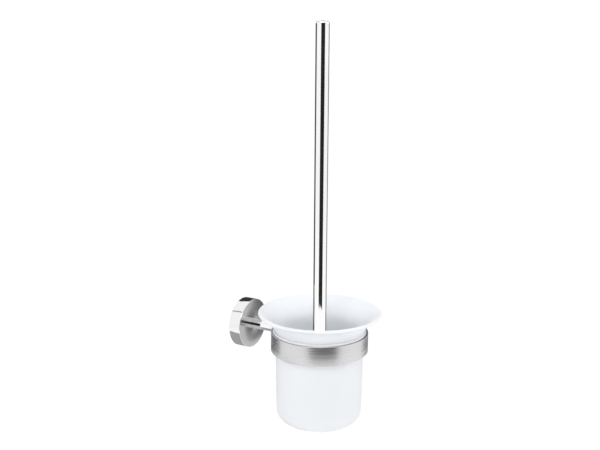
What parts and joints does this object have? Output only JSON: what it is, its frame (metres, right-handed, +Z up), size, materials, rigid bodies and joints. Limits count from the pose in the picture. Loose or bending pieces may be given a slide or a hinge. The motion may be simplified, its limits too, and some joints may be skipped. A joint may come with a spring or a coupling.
{
  "type": "toilet_brush_holder",
  "caption": "Wall-mounted toilet brush holder with a round rosette, a ring band, a frosted glass cup with a flared rim and a brush on a long polished tube handle.",
  "frame": {"origin": "centre of the wall plate, on the wall plane, level with the arm", "axes": "+Z up, +Y into the wall, the holder stands out along -Y, X across"},
  "size_m": [0.118, 0.1475, 0.3803],
  "materials": {
    "polished_steel": "polished",
    "brushed_steel": "brushed face, polished side",
    "ring_steel": "brushed round the band",
    "zinc_steel": "zinc plated",
    "screw_steel": "plain",
    "bush_brass": "turned",
    "liner_plastic": "soft translucent",
    "frosted_glass": "frosted",
    "seal_rubber": "matte",
    "white_plastic": "moulded",
    "bristle_nylon": "nylon filament"
  },
  "bodies": {
    "holder": {"wall_plate": "zinc_steel", "rosette": "brushed_steel", "grub_screw": "screw_steel", "arm": "polished_steel", "arm_screw": "screw_steel", "arm_washer": "screw_steel", "holder_ring": "ring_steel", "ring_screw": "screw_steel", "ring_liner": "liner_plastic"},
    "cup": {"glass_cup": "frosted_glass"},
    "handle": {"handle_tube": "polished_steel", "handle_end_cap": "polished_steel", "handle_bush": "bush_brass"},
    "brush_head": {"head_seal": "seal_rubber", "brush_core": "white_plastic", "bristle_tip": "bristle_nylon", "bristle_ring_1": "bristle_nylon", "bristle_ring_2": "bristle_nylon", "bristle_ring_3": "bristle_nylon", "bristle_ring_4": "bristle_nylon", "bristle_ring_5": "bristle_nylon", "bristle_ring_6": "bristle_nylon", "bristle_ring_7": "bristle_nylon", "bristle_ring_8": "bristle_nylon"}
  },
  "joints": [
    {"name": "cup_lift", "type": "slide", "parent": "holder", "child": "cup", "axis": [0, 0, 1], "range_m": [0, 0.1]},
    {"name": "brush_lift", "type": "slide", "parent": "cup", "child": "handle", "axis": [0, 0, 1], "range_m": [0, 0.12]},
    {"name": "head_unscrew", "type": "hinge", "parent": "handle", "child": "brush_head", "pos_m": [0, -0.0885, 0], "axis": [0, 0, 1], "continuous": true}
  ]
}
